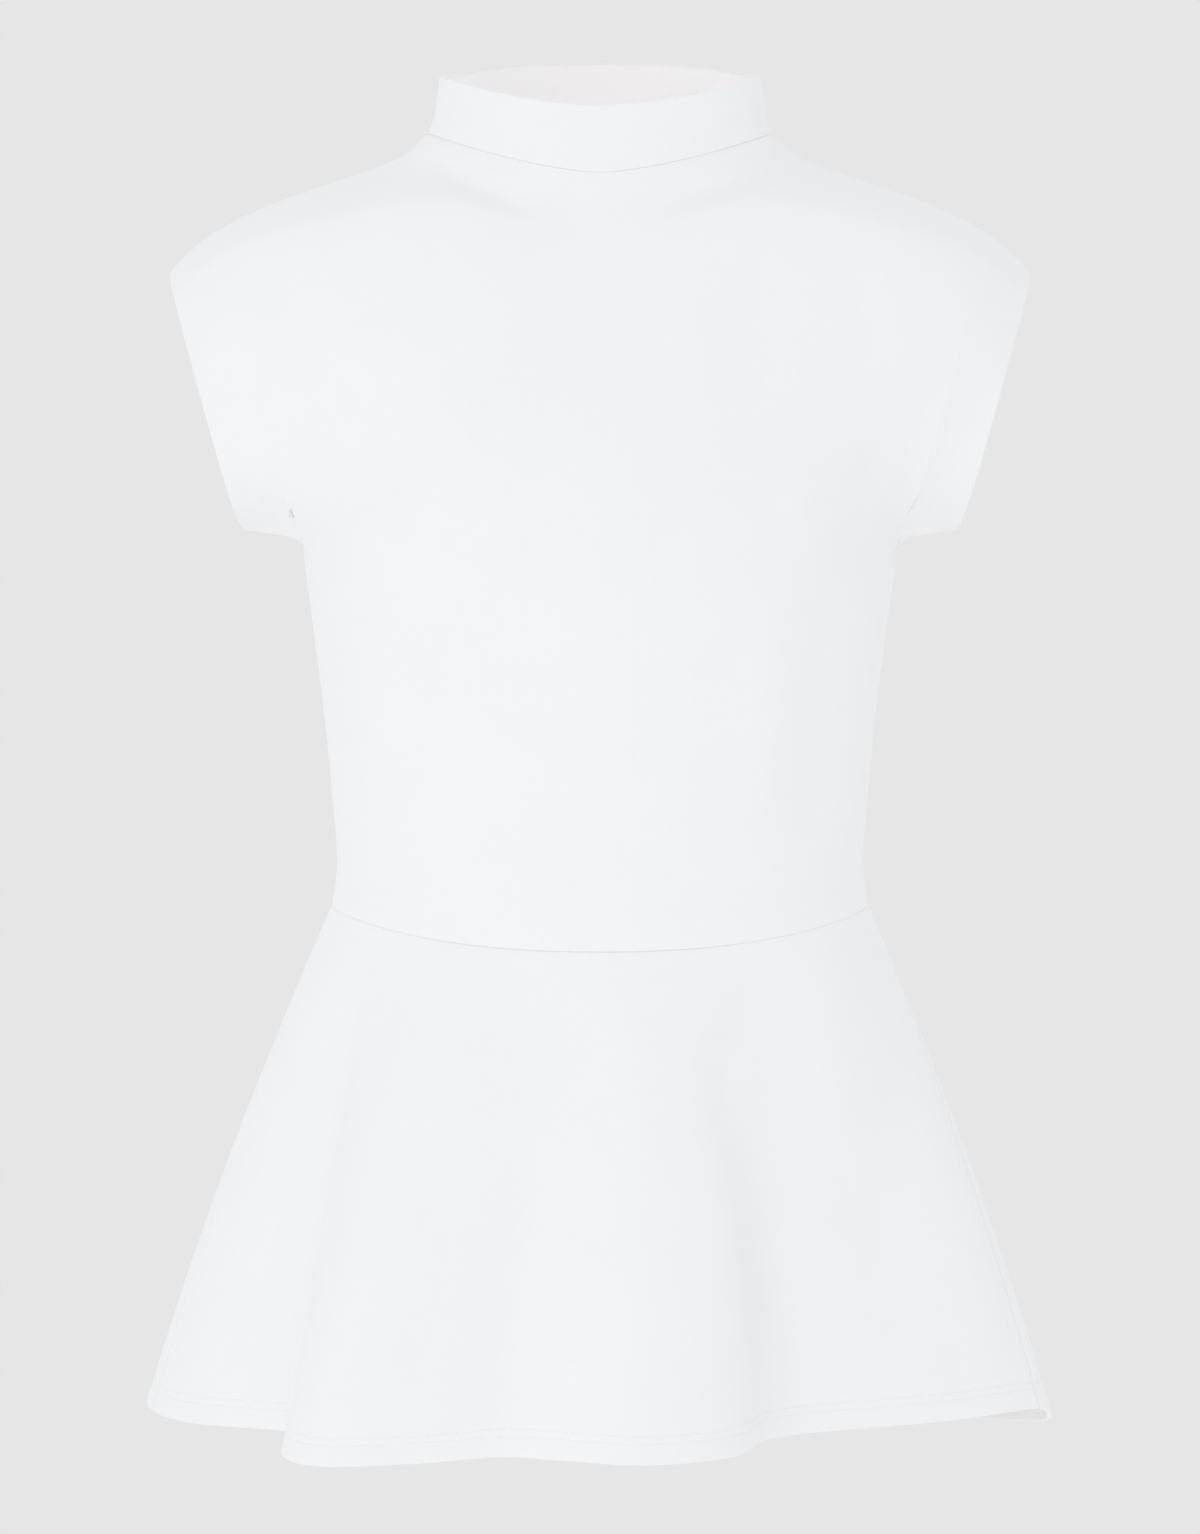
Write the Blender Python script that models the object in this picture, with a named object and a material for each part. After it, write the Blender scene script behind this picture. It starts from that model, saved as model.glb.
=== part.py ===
# A white, sleeveless peplum top with a stand collar, worn but hollow: the cloth keeps the form that a body gives it.
# Metres, +Z up, +X to the viewer's right. The front faces -Y. The origin is at the middle of the neck opening,
# level with the side neck points, where a neck and shoulders would hold the top up.
#
# Each cut piece is one closed wall of cloth: an outer face laid through lines worked out from the sizes below, an
# inner face set in from it, and a rim round the edge. Walls that meet in a seam end in the same plane, a hair apart.

import math
from collections import namedtuple

import bmesh
import bpy
from mathutils import Vector

# The cloth
WALL = 0.0015  # heavy stretch jersey
DOUBLE_WALL = 0.0026  # the same cloth where it lies double: the collar and every turned edge
SEAM_GAP = 0.0003  # between two walls that are sewn together
HEM_TURN = 0.012  # width of the turned-up hem
FRONT = -1
BACK = 1

# Neckline, where the collar is sewn on
NECK_HALF_WIDTH = 0.0840
NECK_HALF_DEPTH = 0.0625
NECK_SIDE_Z = 0.0015
NECK_FRONT_DROP = 0.0187  # the centre front lies this much below the side neck points
NECK_BACK_RISE = 0.0025
NECK_ROUNDING = 1.5  # how soon the line leaves its lowest point

# Stand collar
COLLAR_FRONT_Z = 0.0152
COLLAR_SIDE_Z = 0.0290
COLLAR_BACK_Z = 0.0360

# Waist seam
WAIST_SIDE_Z = -0.377
WAIST_FRONT_DROP = 0.013
WAIST_BACK_DROP = 0.005
WAIST_ROUNDING = 2.4

# Underarm: the side seam ends at the armpit, and the underarm seam runs out from there to the armhole edge
ARMPIT_Z = -0.200
UNDERARM_X = 0.174
UNDERARM_Z = -0.193
UNDERARM_BEND = 1.6  # how soon the seam turns from the side of the body out to the edge

# Peplum
HEM_Z = -0.6275
PEPLUM_BELL = 0.21  # how much sooner the peplum swings out than a straight cone

# Resolution: strips counted from the centre line to the armhole edge, and rows from the waist seam up
HALF_STRIPS = 18
SIDE_STRIP = 16  # the side seam ends this strip
NECK_STRIP = 7  # the neckline ends, and the shoulder seam starts, at this strip
TORSO_ROWS = 7
YOKE_ROWS = 15
PEPLUM_STRIPS = 60
PEPLUM_ROWS = 8

Torso = namedtuple("Torso", "z half_width front_depth back_depth")
TORSO = [
    Torso(-0.392, 0.1328, 0.0990, 0.0842),
    Torso(-0.377, 0.1318, 0.0985, 0.0838),
    Torso(-0.358, 0.1292, 0.0990, 0.0842),
    Torso(-0.325, 0.1313, 0.1035, 0.0880),
    Torso(-0.281, 0.1355, 0.1110, 0.0940),
    Torso(-0.237, 0.1409, 0.1178, 0.0988),
    Torso(-0.215, 0.1441, 0.1192, 0.1008),
    Torso(-0.200, 0.1457, 0.1182, 0.1012),
]

Shoulder = namedtuple("Shoulder", "x z")
SHOULDER_SEAM = [
    Shoulder(0.0840, 0.0015),
    Shoulder(0.0895, -0.0058),
    Shoulder(0.1034, -0.0139),
    Shoulder(0.1290, -0.0226),
    Shoulder(0.1580, -0.0324),
    Shoulder(0.1800, -0.0422),
    Shoulder(0.1960, -0.0520),
    Shoulder(0.2063, -0.0613),
    Shoulder(0.2108, -0.0672),
]

# Lines that run up the yoke, from the level of the armpit to the neckline or the shoulder seam, by their strip.
# Each passes over a crest, where the chest or the back turns into the flat top of the shoulder, and then over a
# base, which is the foot of the neck near the collar and the top of the shoulder further out.
YokeLine = namedtuple("YokeLine", "strip crest_x crest_depth crest_z base_x base_depth base_z")
FRONT_YOKE = [
    YokeLine(0, 0.000, 0.0735, -0.052, 0.000, 0.0650, -0.030),
    YokeLine(2, 0.038, 0.0690, -0.038, 0.039, 0.0590, -0.027),
    YokeLine(3, 0.053, 0.0665, -0.032, 0.056, 0.0525, -0.022),
    YokeLine(4, 0.066, 0.0640, -0.029, 0.071, 0.0430, -0.016),
    YokeLine(5, 0.078, 0.0615, -0.029, 0.083, 0.0290, -0.011),
    YokeLine(6, 0.088, 0.0595, -0.029, 0.091, 0.0170, -0.0105),
    YokeLine(7, 0.098, 0.0575, -0.030, 0.098, 0.0130, -0.0125),
    YokeLine(9, 0.113, 0.0550, -0.033, 0.112, 0.0170, -0.0185),
    YokeLine(11, 0.132, 0.0520, -0.038, 0.133, 0.0180, -0.0250),
    YokeLine(13, 0.153, 0.0480, -0.044, 0.156, 0.0165, -0.0328),
    YokeLine(16, 0.184, 0.0380, -0.057, 0.188, 0.0120, -0.0495),
    YokeLine(18, 0.2078, 0.0220, -0.078, 0.2102, 0.0090, -0.0705),
]
BACK_YOKE = [
    YokeLine(0, 0.000, 0.0820, -0.036, 0.000, 0.0680, -0.012),
    YokeLine(3, 0.053, 0.0720, -0.026, 0.056, 0.0540, -0.009),
    YokeLine(5, 0.078, 0.0640, -0.025, 0.083, 0.0310, -0.008),
    YokeLine(7, 0.098, 0.0580, -0.027, 0.098, 0.0140, -0.0095),
    YokeLine(11, 0.132, 0.0500, -0.036, 0.133, 0.0150, -0.0215),
    YokeLine(16, 0.184, 0.0370, -0.055, 0.188, 0.0120, -0.0458),
    YokeLine(18, 0.2078, 0.0220, -0.078, 0.2102, 0.0090, -0.0688),
]

# The two lines across the yoke under the crest: their depth at the centre and at the armhole edge
Across = namedtuple("Across", "centre_depth edge_depth rounding centre_z edge_z")
FRONT_CHEST = Across(0.1015, 0.052, 2.0, -0.125, -0.131)
BACK_CHEST = Across(0.0975, 0.052, 2.0, -0.118, -0.131)
CREST_SPREAD = 0.16  # share of the way down and up from the crest over which it turns, small for a tight turn
CREST_DROP = 0.026  # the line just under the crest lies this much lower
CREST_LEAN = 0.009  # and this much further out at the centre
EDGE_LEAN = 0.016  # and this much at the armhole edge,
EDGE_TUCK = 0.0075  # where it also lies this much nearer the body
EDGE_FILL = 0.001  # and the middle of the armhole edge lies this much further out
TORSO_STEP = 0.004  # height over which the torso's slope is read
YOKE_RISE = 0.35  # share of the way to the chest line over which the yoke goes on as the torso came up
UNDERARM_REACH = (0.0025, 0.034, 0.002)  # from the armpit, the cloth first runs out and forward by this

# Folds that the arms pull in the cloth, on the outer face: a soft ridge, or a trough where the height is below 0
Drag = namedtuple("Drag", "start_x start_z end_x end_z height width")
FRONT_DRAGS = [
    Drag(-0.170, -0.160, -0.127, -0.193, 0.0022, 0.011),
    Drag(-0.127, -0.193, -0.050, -0.207, 0.0020, 0.014),
    Drag(-0.165, -0.186, -0.120, -0.215, -0.0016, 0.009),
    Drag(0.160, -0.145, 0.098, -0.173, 0.0024, 0.012),
    Drag(0.098, -0.173, 0.050, -0.192, 0.0018, 0.014),
    Drag(0.166, -0.178, 0.118, -0.205, -0.0024, 0.010),
]
BACK_DRAGS = [
    Drag(-0.166, -0.150, -0.105, -0.182, 0.0022, 0.012),
    Drag(-0.164, -0.180, -0.122, -0.208, -0.0018, 0.010),
    Drag(0.164, -0.156, 0.110, -0.190, 0.0020, 0.012),
    Drag(0.166, -0.184, 0.124, -0.212, -0.0018, 0.010),
]

# The hem's flutes, once round from the left side: 0 degrees is the centre front, 90 the right side. A crest has a
# large radius and a trough a small one.
Flute = namedtuple("Flute", "angle radius drop")
FLUTES = [
    Flute(-98, 0.225, 0.000),
    Flute(-90, 0.222, 0.001),
    Flute(-80, 0.206, 0.001),
    Flute(-65, 0.166, 0.000),
    Flute(-55, 0.186, 0.000),
    Flute(-45, 0.211, 0.000),
    Flute(-38, 0.213, 0.000),
    Flute(-28, 0.182, 0.000),
    Flute(-18, 0.156, -0.001),
    Flute(-6, 0.160, -0.001),
    Flute(7, 0.167, 0.000),
    Flute(24, 0.156, 0.000),
    Flute(38, 0.127, 0.000),
    Flute(49, 0.123, 0.000),
    Flute(60, 0.134, 0.000),
    Flute(69, 0.152, 0.000),
    Flute(78, 0.177, 0.000),
    Flute(90, 0.218, 0.000),
    Flute(98, 0.2250, 0.011),
    Flute(108, 0.198, 0.014),
    Flute(120, 0.164, 0.008),
    Flute(138, 0.204, 0.003),
    Flute(156, 0.158, 0.003),
    Flute(176, 0.192, 0.004),
    Flute(197, 0.156, 0.003),
    Flute(218, 0.204, 0.002),
    Flute(238, 0.163, 0.001),
    Flute(252, 0.196, 0.001),
    Flute(262, 0.225, 0.000),
    Flute(270, 0.222, 0.001),
    Flute(280, 0.206, 0.001),
]


def between(start, end, part):
    return start + (end - start) * part


def eased(low, high, value):
    # 0 below low, 1 above high, and a smooth step between them
    part = min(1.0, max(0.0, (value - low) / (high - low)))
    return part * part * (3 - 2 * part)


def read(table, key, value, place):
    # Read one column of a table on the smooth curve through its rows
    keys = [getattr(row, key) for row in table]
    values = [getattr(row, value) for row in table]
    place = min(keys[-1], max(keys[0], place))
    row = max(n for n in range(len(keys) - 1) if keys[n] <= place)
    slopes = []
    for n in (row, row + 1):
        before = max(0, n - 1)
        after = min(len(keys) - 1, n + 1)
        slopes.append((values[after] - values[before]) / (keys[after] - keys[before]))
    width = keys[row + 1] - keys[row]
    t = (place - keys[row]) / width
    start = values[row] * (1 + 2 * t) * (1 - t) ** 2 + width * slopes[0] * t * (1 - t) ** 2
    end = values[row + 1] * t * t * (3 - 2 * t) + width * slopes[1] * t * t * (t - 1)
    return start + end


def spline_point(controls, place):
    # Point on a clamped cubic B-spline, with place from 0 at its start to 1 at its end
    spans = len(controls) - 3
    knots = [0] * 3 + list(range(spans + 1)) + [spans] * 3
    at = place * spans
    span = min(int(at), spans - 1) + 3
    near = [controls[span - 3 + n].copy() for n in range(4)]
    for level in range(1, 4):
        for n in range(3, level - 1, -1):
            low = knots[span - 3 + n]
            high = knots[span + 1 + n - level]
            near[n] = near[n - 1].lerp(near[n], (at - low) / (high - low))
    return near[3]


def neckline_z(side, across):
    # across is 0 at the centre and 1 at the side neck point
    change = -NECK_FRONT_DROP if side == FRONT else NECK_BACK_RISE
    return NECK_SIDE_Z + change * (1 - abs(across) ** NECK_ROUNDING)


def neck_point(side, turn):
    # turn is the angle round the neck from the centre line, up to a quarter turn at the side neck point
    y = NECK_HALF_DEPTH * math.cos(turn)
    return Vector((NECK_HALF_WIDTH * math.sin(turn), side * y, neckline_z(side, math.sin(turn))))


def waist_z(side, across):
    drop = WAIST_FRONT_DROP if side == FRONT else WAIST_BACK_DROP
    return WAIST_SIDE_Z - drop * (1 - abs(across) ** WAIST_ROUNDING)


def torso_point(side, turn, z):
    # turn is the angle round the body from the centre line, up to a quarter turn at the side seam
    depth_column = "front_depth" if side == FRONT else "back_depth"
    half_width = read(TORSO, "z", "half_width", z)
    depth = read(TORSO, "z", depth_column, z)
    y = max(depth * math.cos(turn), SEAM_GAP / 2)
    return Vector((half_width * math.sin(turn), side * y, z))


def yoke_foot(side, strip):
    # Lower end of a line up the yoke, on the torso or out along the underarm seam
    if strip <= SIDE_STRIP:
        return torso_point(side, math.pi / 2 * strip / SIDE_STRIP, ARMPIT_Z)
    out = (strip - SIDE_STRIP) / (HALF_STRIPS - SIDE_STRIP)
    armpit = torso_point(side, math.pi / 2, ARMPIT_Z)
    x = between(armpit.x, UNDERARM_X, out ** UNDERARM_BEND)
    return Vector((x, armpit.y, between(armpit.z, UNDERARM_Z, out ** (1 / UNDERARM_BEND))))


def yoke_top(side, strip):
    # Upper end of a line up the yoke, on the neckline or the shoulder seam
    if strip <= NECK_STRIP:
        top = neck_point(side, math.pi / 2 * strip / NECK_STRIP)
        return Vector((top.x, side * max(abs(top.y), SEAM_GAP / 2), top.z - SEAM_GAP / 2))
    out = (strip - NECK_STRIP) / (HALF_STRIPS - NECK_STRIP)
    x = between(SHOULDER_SEAM[0].x, SHOULDER_SEAM[-1].x, out)
    return Vector((x, side * SEAM_GAP / 2, read(SHOULDER_SEAM, "x", "z", x)))


def yoke_line(side, strip):
    # Control points of one line up the yoke, for the right half
    table = FRONT_YOKE if side == FRONT else BACK_YOKE
    chest = FRONT_CHEST if side == FRONT else BACK_CHEST
    foot = yoke_foot(side, strip)
    top = yoke_top(side, strip)
    out = strip / HALF_STRIPS
    crest = Vector([read(table, "strip", name, strip) for name in ("crest_x", "crest_depth", "crest_z")])
    base = Vector([read(table, "strip", name, strip) for name in ("base_x", "base_depth", "base_z")])
    crest.y *= side
    base.y *= side
    under_crest = crest + Vector((-EDGE_TUCK * out ** 4, side * between(CREST_LEAN, EDGE_LEAN, out), -CREST_DROP))

    mid_x = between(foot.x, crest.x, 0.5) + EDGE_FILL * eased(0.8, 1.0, out)
    edge_x = between(UNDERARM_X, SHOULDER_SEAM[-1].x, 0.5) + EDGE_FILL
    share = (mid_x / edge_x) ** chest.rounding
    mid_depth = between(chest.centre_depth, chest.edge_depth, share)
    mid = Vector((mid_x, side * mid_depth, between(chest.centre_z, chest.edge_z, out)))

    # Near the centre the line goes on up as the torso does, and at the armpit it first runs forward under the arm
    turn = math.pi / 2 * min(1.0, strip / SIDE_STRIP)
    below = torso_point(side, turn, ARMPIT_Z - TORSO_STEP)
    slope = (torso_point(side, turn, ARMPIT_Z) - below) / TORSO_STEP
    upward = foot + slope * (mid.z - foot.z) * YOKE_RISE
    reach = Vector(UNDERARM_REACH)
    reach.y *= side
    forward = foot + reach
    start = upward.lerp(forward, eased(0.62, SIDE_STRIP / HALF_STRIPS, out))
    crest_low = crest.lerp(under_crest, CREST_SPREAD)
    crest_high = crest.lerp(base, CREST_SPREAD)
    return [foot, start, mid, under_crest, crest_low, crest_high, base, top]


def drag_height(drags, point):
    # Sum of the ridges and troughs at a point of the outer face, as seen from the front
    height = 0
    here = Vector((point.x, point.z))
    for drag in drags:
        start = Vector((drag.start_x, drag.start_z))
        run = Vector((drag.end_x, drag.end_z)) - start
        part = min(1.0, max(0.0, (here - start).dot(run) / run.length_squared))
        distance = (here - start - run * part).length
        height += drag.height * math.exp(-((distance / drag.width) ** 2))
    return height


def bodice_points(side):
    # The outer face by strip and row. The armhole strips start at the underarm seam, so they have no torso rows
    drags = FRONT_DRAGS if side == FRONT else BACK_DRAGS
    points = {}
    for strip in range(-HALF_STRIPS, HALF_STRIPS + 1):
        hand = -1 if strip < 0 else 1
        if abs(strip) <= SIDE_STRIP:
            turn = math.pi / 2 * abs(strip) / SIDE_STRIP
            bottom = waist_z(side, math.sin(turn)) + SEAM_GAP / 2
            for row in range(TORSO_ROWS):
                point = torso_point(side, turn, between(bottom, ARMPIT_Z, row / TORSO_ROWS))
                points[strip, row] = point
        controls = yoke_line(side, abs(strip))
        for row in range(YOKE_ROWS + 1):
            points[strip, TORSO_ROWS + row] = spline_point(controls, row / YOKE_ROWS)
        for row in range(TORSO_ROWS + YOKE_ROWS + 1):
            if (strip, row) in points:
                points[strip, row].x *= hand
    top_row = TORSO_ROWS + YOKE_ROWS
    for (strip, row), point in points.items():
        sewn = row in (0, top_row) or abs(strip) == SIDE_STRIP and row <= TORSO_ROWS
        sewn = sewn or abs(strip) > SIDE_STRIP and row == TORSO_ROWS
        if not sewn:
            point.y += side * drag_height(drags, point)
    return points


def grid_faces(points, side):
    # Four-sided faces between neighbouring points, seen from outside, for a front or a back
    faces = []
    for strip, row in points:
        corners = [(strip, row), (strip + 1, row), (strip + 1, row + 1), (strip, row + 1)]
        if all(corner in points for corner in corners):
            faces.append(corners if side == FRONT else corners[::-1])
    return faces


def closed_wall(name, points, faces, wall_at, held_at):
    # Give an outer face its thickness. held_at names the axes along which a point's wall may not lean, so that
    # the walls on both sides of a seam end in one plane
    mesh = bmesh.new()
    outer = {key: mesh.verts.new(point) for key, point in points.items()}
    for face in faces:
        mesh.faces.new([outer[key] for key in face])
    mesh.normal_update()
    rims = [edge.link_loops[0] for edge in mesh.edges if edge.is_boundary]
    rims = [(loop.vert, loop.link_loop_next.vert) for loop in rims]
    inner = {}
    for key, vertex in outer.items():
        inward = -vertex.normal
        for axis in held_at(*key):
            inward[axis] = 0
        stretch = 1 / max(inward.length, 0.65)
        inner[vertex] = vertex.co + inward.normalized() * wall_at(*key) * stretch
    inner = {vertex: mesh.verts.new(place) for vertex, place in inner.items()}
    for face in faces:
        mesh.faces.new([inner[outer[key]] for key in reversed(face)])
    for start, end in rims:
        mesh.faces.new((end, start, inner[start], inner[end]))
    return finished(name, mesh)


def finished(name, mesh):
    data = bpy.data.meshes.new(name)
    mesh.to_mesh(data)
    mesh.free()
    data.shade_smooth()
    data.set_sharp_from_angle(angle=math.radians(50))
    piece = bpy.data.objects.new(name, data)
    garment.objects.link(piece)
    return piece


def bodice(name, side):
    top_row = TORSO_ROWS + YOKE_ROWS

    def wall_at(strip, row):
        return DOUBLE_WALL if abs(strip) >= HALF_STRIPS - 1 else WALL

    def held_at(strip, row):
        axes = []
        at_side = abs(strip) == SIDE_STRIP and row <= TORSO_ROWS
        at_underarm = abs(strip) > SIDE_STRIP and row == TORSO_ROWS
        at_shoulder = abs(strip) >= NECK_STRIP and row == top_row
        if at_side or at_underarm or at_shoulder:
            axes.append(1)
        if row == 0 or (row == top_row and abs(strip) <= NECK_STRIP):
            axes.append(2)
        return axes

    points = bodice_points(side)
    return closed_wall(name, points, grid_faces(points, side), wall_at, held_at)


def evenly_spaced(curve, count):
    # Split a curve, given as a function of a number from 0 to 1, into equal lengths
    fine = 720
    samples = [curve(n / fine) for n in range(fine + 1)]
    lengths = [0]
    for n in range(fine):
        lengths.append(lengths[-1] + (samples[n + 1] - samples[n]).length)
    places = []
    n = 0
    for step in range(count + 1):
        wanted = lengths[-1] * step / count
        while n < fine - 1 and lengths[n + 1] < wanted:
            n += 1
        part = (wanted - lengths[n]) / (lengths[n + 1] - lengths[n])
        places.append(samples[n].lerp(samples[n + 1], min(1.0, part)))
    return places


def peplum_points(side):
    # Each strip is a straight fall from the waist seam to the same share of the hem
    def waist(share):
        turn = math.pi * (share - 0.5)
        ring = torso_point(side, turn, WAIST_SIDE_Z)
        ring.z = waist_z(side, math.sin(turn)) - SEAM_GAP / 2
        return ring

    def hem(share):
        angle = between(-90, 90, share) if side == FRONT else between(270, 90, share)
        radius = read(FLUTES, "angle", "radius", angle)
        turn = math.radians(angle)
        y = -radius * math.cos(turn)
        if abs(y) < SEAM_GAP / 2:
            y = side * SEAM_GAP / 2
        return Vector((radius * math.sin(turn), y, HEM_Z - read(FLUTES, "angle", "drop", angle)))

    points = {}
    fall = WAIST_SIDE_Z - HEM_Z
    turn_shares = [1 - (HEM_TURN + 0.001) / fall, 1 - HEM_TURN / fall, 1.0]
    shares = [turn_shares[0] * row / PEPLUM_ROWS for row in range(PEPLUM_ROWS)] + turn_shares
    tops = evenly_spaced(waist, PEPLUM_STRIPS)
    bottoms = evenly_spaced(hem, PEPLUM_STRIPS)
    for strip, (top, bottom) in enumerate(zip(tops, bottoms)):
        for row, share in enumerate(reversed(shares)):
            swing = share + PEPLUM_BELL * share * (1 - share)
            point = top.lerp(bottom, swing)
            point.z = between(top.z, bottom.z, share)
            points[strip, row] = point
    return points, len(shares) - 1


def peplum(name, side):
    points, top_row = peplum_points(side)

    def wall_at(strip, row):
        return DOUBLE_WALL if row <= 1 else WALL

    def held_at(strip, row):
        axes = []
        if strip in (0, PEPLUM_STRIPS):
            axes.append(1)
        if row == top_row:
            axes.append(2)
        return axes

    return closed_wall(name, points, grid_faces(points, side), wall_at, held_at)


def collar(name):
    # One band round the neck, doubled over at its top edge: the profile runs up the outside, over and down inside
    Level = namedtuple("Level", "share half_width half_depth")
    levels = [
        Level(0.00, NECK_HALF_WIDTH, NECK_HALF_DEPTH),
        Level(0.14, 0.0823, 0.0618),
        Level(0.34, 0.0807, 0.0612),
        Level(0.60, 0.0798, 0.0608),
        Level(1.00, 0.0784, 0.0604),
    ]
    shares = [0.0, 0.08, 0.18, 0.34, 0.56, 0.80, 1.0]
    bend = [math.radians(angle) for angle in (30, 90, 150)]
    steps = 2 * NECK_STRIP  # to a quarter turn, two to each strip of the bodice

    def foot_point(step):
        # The foot follows the bodice's edge, which is straight between the ends of its strips
        ends = []
        for end in (step // 2, (step + 1) // 2):
            turn = math.pi / 2 * end / NECK_STRIP
            ends.append(neck_point(FRONT if math.cos(turn) > 0 else BACK, turn))
            ends[-1].y = -NECK_HALF_DEPTH * math.cos(turn)
        foot = (ends[0] + ends[1]) / 2
        foot.z += SEAM_GAP / 2
        return foot

    mesh = bmesh.new()
    rings = []
    for step in range(4 * steps):
        turn = math.pi / 2 * step / steps
        across = abs(math.sin(turn))
        foot = foot_point(step)
        if math.cos(turn) > 0:
            top_z = between(COLLAR_FRONT_Z, COLLAR_SIDE_Z, across ** 1.75)
        else:
            top_z = between(COLLAR_BACK_Z, COLLAR_SIDE_Z, across ** 3)
        top_z -= DOUBLE_WALL / 2
        ring = []
        insides = []
        for share in shares:
            half_width = read(levels, "share", "half_width", share)
            half_depth = read(levels, "share", "half_depth", share)
            outside = Vector((half_width * math.sin(turn), -half_depth * math.cos(turn), 0))
            if share == 0:
                outside = foot.copy()
            outside.z = between(foot.z, top_z, share)
            outward = Vector((math.sin(turn) / half_width, -math.cos(turn) / half_depth, 0)).normalized()
            ring.append(outside)
            insides.append(outside - outward * DOUBLE_WALL)
        middle = (ring[-1] + insides[-1]) / 2
        for angle in bend:
            over = outward * math.cos(angle) + Vector((0, 0, math.sin(angle)))
            ring.append(middle + over * DOUBLE_WALL / 2)
        ring += reversed(insides)
        rings.append([mesh.verts.new(point) for point in ring])
    for step, here in enumerate(rings):
        there = rings[(step + 1) % len(rings)]
        for n in range(len(here)):
            after = (n + 1) % len(here)
            mesh.faces.new((here[n], there[n], there[after], here[after]))
    return finished(name, mesh)


def cloth_material(name, colour):
    material = bpy.data.materials.new(name)
    material.use_nodes = True
    shader = material.node_tree.nodes["Principled BSDF"]
    shader.inputs["Base Color"].default_value = (*colour, 1)
    shader.inputs["Roughness"].default_value = 0.85
    shader.inputs["Metallic"].default_value = 0
    return material


for leftover in list(bpy.data.objects):
    bpy.data.objects.remove(leftover)
garment = bpy.data.collections.new("peplum_top")
bpy.context.scene.collection.children.link(garment)

WHITE = (0.90, 0.91, 0.92)
pieces = [
    collar("collar"),
    bodice("bodice_front", FRONT),
    bodice("bodice_back", BACK),
    peplum("peplum_front", FRONT),
    peplum("peplum_back", BACK),
]
for piece in pieces:
    piece.data.materials.append(cloth_material(piece.name + "_cloth", WHITE))
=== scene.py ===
# White peplum top, worn but hollow: the looks of its cloth, seams and stitches.
# Metres, +Z up, the front faces -Y. The cloth follows the same lines as the CAD solids, only finer.

import math
from collections import namedtuple

import bmesh
import bpy
from mathutils import Matrix, Vector


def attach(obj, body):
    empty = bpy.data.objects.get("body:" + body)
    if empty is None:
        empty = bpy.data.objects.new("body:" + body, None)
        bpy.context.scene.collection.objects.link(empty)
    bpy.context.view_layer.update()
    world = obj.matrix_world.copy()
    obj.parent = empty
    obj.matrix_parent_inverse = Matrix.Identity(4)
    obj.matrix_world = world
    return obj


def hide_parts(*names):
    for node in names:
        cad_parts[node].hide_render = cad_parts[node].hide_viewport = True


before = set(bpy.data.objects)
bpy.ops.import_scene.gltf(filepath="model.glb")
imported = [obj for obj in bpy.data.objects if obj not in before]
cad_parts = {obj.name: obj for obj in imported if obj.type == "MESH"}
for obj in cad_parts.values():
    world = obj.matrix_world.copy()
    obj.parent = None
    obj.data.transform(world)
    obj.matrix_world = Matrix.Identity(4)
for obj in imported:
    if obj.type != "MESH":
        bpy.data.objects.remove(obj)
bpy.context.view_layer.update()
bpy.ops.object.select_all(action="DESELECT")
print("frame loaded:", len(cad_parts), "cut pieces")

front = -1
back = 1
quarter = math.pi / 2
tiny = 1e-6

# What every piece is sewn from
cloth = {
    "wall": 0.0015,
    "doubleWall": 0.0026,  # the collar and every turned edge
    "seamGap": 0.00004,
    "seamDip": 0.00022,  # how deep the cloth rolls in at a seam
    "seamRoll": 0.0022,  # and over what width
    "neckDip": 0.0004,  # the same under the collar, which lies proud of the bodice
    "neckRoll": 0.0080,
    "flattened": 0.014,  # no crease comes closer than this to a seam at its full height
    "allowance": 0.00022,  # how far the turned-in edge pads the cloth beside a seam
    "allowanceAt": 0.0036,
    "allowanceWidth": 0.0016,
    "foldStep": 0.0006,  # how soon a doubled edge gets its full thickness
    "edgeRound": 0.8,  # how much of a half circle a turned edge's outline is
    "leastLean": 0.65,  # limits how far a wall that stays in a seam's plane is stretched
    "collarDip": 0.6,  # the stiffer doubled collar rolls in less than one layer does
}


def between(start, end, part):
    return start + (end - start) * part


def eased(low, high, value):
    part = min(1.0, max(0.0, (value - low) / (high - low)))
    return part * part * (3 - 2 * part)


def read(table, key, value, place):
    # one column of a table, on the smooth curve through its rows
    keys = [getattr(row, key) for row in table]
    values = [getattr(row, value) for row in table]
    place = min(keys[-1], max(keys[0], place))
    row = max(n for n in range(len(keys) - 1) if keys[n] <= place)
    slopes = []
    for n in (row, row + 1):
        before = max(0, n - 1)
        after = min(len(keys) - 1, n + 1)
        slopes.append((values[after] - values[before]) / (keys[after] - keys[before]))
    width = keys[row + 1] - keys[row]
    t = (place - keys[row]) / width
    start = values[row] * (1 + 2 * t) * (1 - t) ** 2 + width * slopes[0] * t * (1 - t) ** 2
    end = values[row + 1] * t * t * (3 - 2 * t) + width * slopes[1] * t * t * (t - 1)
    return start + end


def splinePoint(controls, place):
    # point on a clamped cubic B-spline
    spans = len(controls) - 3
    knots = [0] * 3 + list(range(spans + 1)) + [spans] * 3
    at = place * spans
    span = min(int(at), spans - 1) + 3
    near = [controls[span - 3 + n].copy() for n in range(4)]
    for level in range(1, 4):
        for n in range(3, level - 1, -1):
            low = knots[span - 3 + n]
            high = knots[span + 1 + n - level]
            near[n] = near[n - 1].lerp(near[n], (at - low) / (high - low))
    return near[3]


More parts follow.
